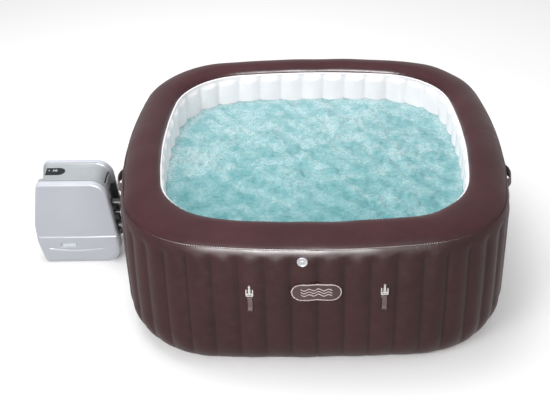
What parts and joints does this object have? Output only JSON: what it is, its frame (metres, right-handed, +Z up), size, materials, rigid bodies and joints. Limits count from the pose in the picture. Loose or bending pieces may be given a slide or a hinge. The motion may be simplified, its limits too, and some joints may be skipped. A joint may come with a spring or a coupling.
{
  "type": "inflatable hot tub",
  "caption": "Square inflatable hot tub with a rolled rim, fluted walls and white pool liner, joined by union nuts to a boxy pump and heater unit.",
  "frame": {"origin": "centre of the ground sheet, on the floor under the middle of the tub", "axes": "+Z up; -Y is the front, with the inflation valve and the badge; the pump unit stands at -X"},
  "size_m": [2.581, 2.0205, 0.8],
  "materials": {
    "brown_pvc": "laminated PVC, satin",
    "white_pvc": "laminated PVC, glossy",
    "webbing": "woven polyester webbing",
    "badge_print": "printed PVC patch",
    "light_shell": "moulded ABS, satin",
    "deck_grey": "moulded ABS, satin",
    "dark_shell": "moulded ABS, fine grain",
    "black_plastic": "moulded polypropylene",
    "white_plastic": "moulded polypropylene",
    "grey_plastic": "moulded polypropylene",
    "panel_gloss": "back-printed polycarbonate",
    "circuit": "solder mask",
    "rubber": "moulded rubber",
    "steel": "stainless",
    "paper": "pleated filter fleece",
    "clear_hose": "flexible PVC hose"
  },
  "bodies": {
    "tub": {"bottom_sheet": "brown_pvc", "tub_floor": "white_pvc", "outer_wall": "brown_pvc", "top_panel": "brown_pvc", "inner_wall": "white_pvc", "top_seam": "brown_pvc", "wall_beams": "white_pvc", "bubble_channel": "white_pvc", "jet_hose": "clear_hose", "jet_housings": "grey_plastic", "wall_fittings": "black_plastic", "air_hose": "clear_hose", "filter_base": "grey_plastic", "inflation_valve": "white_plastic", "drain_valve": "black_plastic", "badge": "badge_print", "carry_handles": "webbing", "buckle_straps": "webbing"},
    "pump": {"pump_base": "grey_plastic", "rubber_feet": "rubber", "near_cover": "light_shell", "far_cover": "light_shell", "pump_deck": "deck_grey", "rear_cover": "dark_shell", "control_window": "panel_gloss", "display_board": "circuit", "blank_plate": "light_shell", "water_pump": "dark_shell", "blower_housing": "grey_plastic", "heater": "steel", "control_box": "grey_plastic", "pump_pipes": "white_plastic", "cover_screws": "steel", "cable_gland": "black_plastic"},
    "nozzle_1": {"jet_nozzle_1": "white_plastic"},
    "nozzle_2": {"jet_nozzle_2": "white_plastic"},
    "nozzle_3": {"jet_nozzle_3": "white_plastic"},
    "nozzle_4": {"jet_nozzle_4": "white_plastic"},
    "nozzle_5": {"jet_nozzle_5": "white_plastic"},
    "nozzle_6": {"jet_nozzle_6": "white_plastic"},
    "nozzle_7": {"jet_nozzle_7": "white_plastic"},
    "nozzle_8": {"jet_nozzle_8": "white_plastic"},
    "inflation_cap": {"inflation_cap": "grey_plastic"},
    "drain_cap": {"drain_cap": "black_plastic"},
    "front_left_buckle": {"front_left_buckle": "white_plastic"},
    "front_right_buckle": {"front_right_buckle": "white_plastic"},
    "back_left_buckle": {"back_left_buckle": "white_plastic"},
    "back_right_buckle": {"back_right_buckle": "white_plastic"},
    "filter": {"filter_housing": "grey_plastic", "filter_cartridge": "paper"},
    "upper_nut": {"upper_union_nut": "black_plastic"},
    "middle_nut": {"middle_union_nut": "white_plastic"},
    "lower_nut": {"lower_union_nut": "black_plastic"},
    "power_button": {"power_button": "black_plastic"},
    "heat_button": {"heat_button": "black_plastic"},
    "bubbles_button": {"bubbles_button": "black_plastic"},
    "jets_button": {"jets_button": "black_plastic"},
    "light_button": {"light_button": "black_plastic"},
    "impeller": {"pump_impeller": "white_plastic"},
    "fan": {"blower_fan": "white_plastic"}
  },
  "joints": [
    {"name": "pump_pull", "type": "slide", "parent": "tub", "child": "pump", "axis": [-1, 0, 0], "range_m": [0, 0.4]},
    {"name": "nozzle_1_turn", "type": "hinge", "parent": "tub", "child": "nozzle_1", "pos_m": [0.78666, -0.31325, 0.33], "axis": [-0.9952, 0.0977, 0], "range_deg": [0, 90]},
    {"name": "nozzle_2_turn", "type": "hinge", "parent": "tub", "child": "nozzle_2", "pos_m": [0.78666, 0.31325, 0.33], "axis": [-0.9952, -0.0977, 0], "range_deg": [0, 90]},
    {"name": "nozzle_3_turn", "type": "hinge", "parent": "tub", "child": "nozzle_3", "pos_m": [0.31325, 0.78666, 0.33], "axis": [-0.0977, -0.9952, 0], "range_deg": [0, 90]},
    {"name": "nozzle_4_turn", "type": "hinge", "parent": "tub", "child": "nozzle_4", "pos_m": [-0.31325, 0.78666, 0.33], "axis": [0.0977, -0.9952, 0], "range_deg": [0, 90]},
    {"name": "nozzle_5_turn", "type": "hinge", "parent": "tub", "child": "nozzle_5", "pos_m": [-0.78666, 0.31325, 0.33], "axis": [0.9952, -0.0977, 0], "range_deg": [0, 90]},
    {"name": "nozzle_6_turn", "type": "hinge", "parent": "tub", "child": "nozzle_6", "pos_m": [-0.78666, -0.31325, 0.33], "axis": [0.9952, 0.0977, 0], "range_deg": [0, 90]},
    {"name": "nozzle_7_turn", "type": "hinge", "parent": "tub", "child": "nozzle_7", "pos_m": [-0.31325, -0.78666, 0.33], "axis": [0.0977, 0.9952, 0], "range_deg": [0, 90]},
    {"name": "nozzle_8_turn", "type": "hinge", "parent": "tub", "child": "nozzle_8", "pos_m": [0.31325, -0.78666, 0.33], "axis": [-0.0977, 0.9952, 0], "range_deg": [0, 90]},
    {"name": "inflation_cap_turn", "type": "hinge", "parent": "tub", "child": "inflation_cap", "pos_m": [-0.067, -1.00431, 0.669], "axis": [-0.0196, -0.9995, 0.0239], "continuous": true},
    {"name": "drain_cap_turn", "type": "hinge", "parent": "tub", "child": "drain_cap", "pos_m": [-0.31364, 0.96736, 0.12], "axis": [-0.0438, 0.9632, -0.2651], "continuous": true},
    {"name": "front_left_buckle_tilt", "type": "hinge", "parent": "tub", "child": "front_left_buckle", "pos_m": [-0.3183, -0.99459, 0.46691], "axis": [0.9968, -0.0799, 0], "range_deg": [0, 100]},
    {"name": "front_right_buckle_tilt", "type": "hinge", "parent": "tub", "child": "front_right_buckle", "pos_m": [0.3183, -0.99459, 0.46691], "axis": [0.9968, 0.0799, 0], "range_deg": [0, 100]},
    {"name": "back_left_buckle_tilt", "type": "hinge", "parent": "tub", "child": "back_left_buckle", "pos_m": [-0.3183, 0.99459, 0.46691], "axis": [-0.9968, -0.0799, 0], "range_deg": [0, 100]},
    {"name": "back_right_buckle_tilt", "type": "hinge", "parent": "tub", "child": "back_right_buckle", "pos_m": [0.3183, 0.99459, 0.46691], "axis": [-0.9968, 0.0799, 0], "range_deg": [0, 100]},
    {"name": "filter_turn", "type": "hinge", "parent": "tub", "child": "filter", "pos_m": [-0.788, 0.06275, 0.18], "axis": [1, 0, 0], "range_deg": [0, 45]},
    {"name": "upper_nut_turn", "type": "hinge", "parent": "pump", "child": "upper_nut", "pos_m": [-1.065, 0.06275, 0.33], "axis": [1, 0, 0], "continuous": true},
    {"name": "middle_nut_turn", "type": "hinge", "parent": "pump", "child": "middle_nut", "pos_m": [-1.065, 0.06275, 0.265], "axis": [1, 0, 0], "continuous": true},
    {"name": "lower_nut_turn", "type": "hinge", "parent": "pump", "child": "lower_nut", "pos_m": [-1.065, 0.06275, 0.18], "axis": [1, 0, 0], "continuous": true},
    {"name": "power_button_press", "type": "slide", "parent": "pump", "child": "power_button", "axis": [0, 0, -1], "range_m": [0, 0.0012], "stiffness_N_per_m": 400},
    {"name": "heat_button_press", "type": "slide", "parent": "pump", "child": "heat_button", "axis": [0, 0, -1], "range_m": [0, 0.0012], "stiffness_N_per_m": 400},
    {"name": "bubbles_button_press", "type": "slide", "parent": "pump", "child": "bubbles_button", "axis": [0, 0, -1], "range_m": [0, 0.0012], "stiffness_N_per_m": 400},
    {"name": "jets_button_press", "type": "slide", "parent": "pump", "child": "jets_button", "axis": [0, 0, -1], "range_m": [0, 0.0012], "stiffness_N_per_m": 400},
    {"name": "light_button_press", "type": "slide", "parent": "pump", "child": "light_button", "axis": [0, 0, -1], "range_m": [0, 0.0012], "stiffness_N_per_m": 400},
    {"name": "impeller_spin", "type": "hinge", "parent": "pump", "child": "impeller", "pos_m": [-1.32, 0.06275, 0.18], "axis": [1, 0, 0], "continuous": true},
    {"name": "fan_spin", "type": "hinge", "parent": "pump", "child": "fan", "pos_m": [-1.31, 0.15, 0.265], "axis": [1, 0, 0], "continuous": true}
  ]
}
